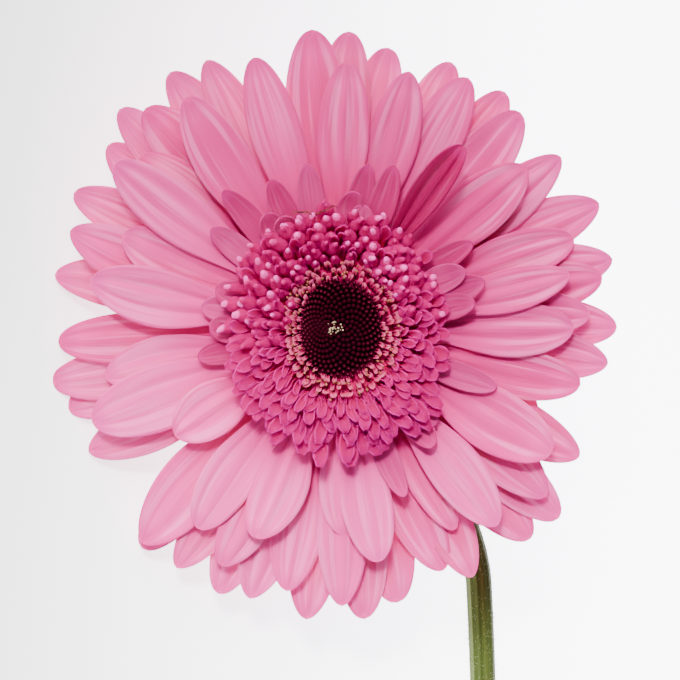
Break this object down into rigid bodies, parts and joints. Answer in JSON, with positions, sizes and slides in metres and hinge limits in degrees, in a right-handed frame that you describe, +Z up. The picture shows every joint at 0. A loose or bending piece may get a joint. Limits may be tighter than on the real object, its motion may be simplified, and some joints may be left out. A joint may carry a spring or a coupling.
{
  "type": "cut gerbera",
  "caption": "Cut gerbera flower lying on its side: pale pink rayed head with a crimson crown and dark disc on a bare green stem, for display in a vase or on a table.",
  "frame": {"origin": "on the surface that the flower lies on, under the middle of its bounding box", "axes": "+Z up. The stem runs along -Y from the head to its cut end. The head faces up and is rolled 30 degrees towards -X."},
  "size_m": [0.1012, 0.375, 0.0627],
  "materials": {
    "petal": "matte",
    "petal_shaded": "matte",
    "ligule": "matte",
    "crown": "matte",
    "anther": "matte",
    "disc": "matte",
    "leaf_green": "matte",
    "stem_green": "satin"
  },
  "bodies": {
    "root": {"bracts_inner": "leaf_green", "bracts_outer": "leaf_green", "crown_inner": "crown", "crown_middle": "crown", "crown_outer": "crown", "disc_florets": "disc", "ligules_lower": "ligule", "ligules_upper": "ligule", "petal_front_01": "petal", "petal_front_02": "petal", "petal_front_03": "petal", "petal_front_04": "petal", "petal_front_05": "petal", "petal_front_06": "petal", "petal_front_07": "petal", "petal_front_08": "petal", "petal_front_09": "petal", "petal_front_10": "petal", "petal_front_11": "petal", "petal_front_12": "petal", "petal_front_13": "petal", "petal_front_14": "petal", "petal_front_15": "petal", "petal_front_16": "petal", "petal_front_17": "petal", "petal_front_18": "petal", "petal_middle_01": "petal", "petal_middle_02": "petal", "petal_middle_03": "petal", "petal_middle_04": "petal", "petal_middle_05": "petal", "petal_middle_06": "petal", "petal_middle_07": "petal", "petal_middle_08": "petal", "petal_middle_09": "petal", "petal_middle_10": "petal", "petal_middle_11": "petal", "petal_middle_12": "petal", "petal_middle_13": "petal", "petal_middle_14": "petal", "petal_middle_15": "petal", "petal_middle_16": "petal", "petal_middle_17": "petal", "petal_middle_18": "petal", "petal_middle_19": "petal", "petal_middle_20": "petal", "petal_middle_21": "petal", "petals_back_a": "petal_shaded", "petals_back_b": "petal_shaded", "receptacle": "leaf_green", "stamen_collar": "anther", "stem": "stem_green"}
  },
  "joints": []
}
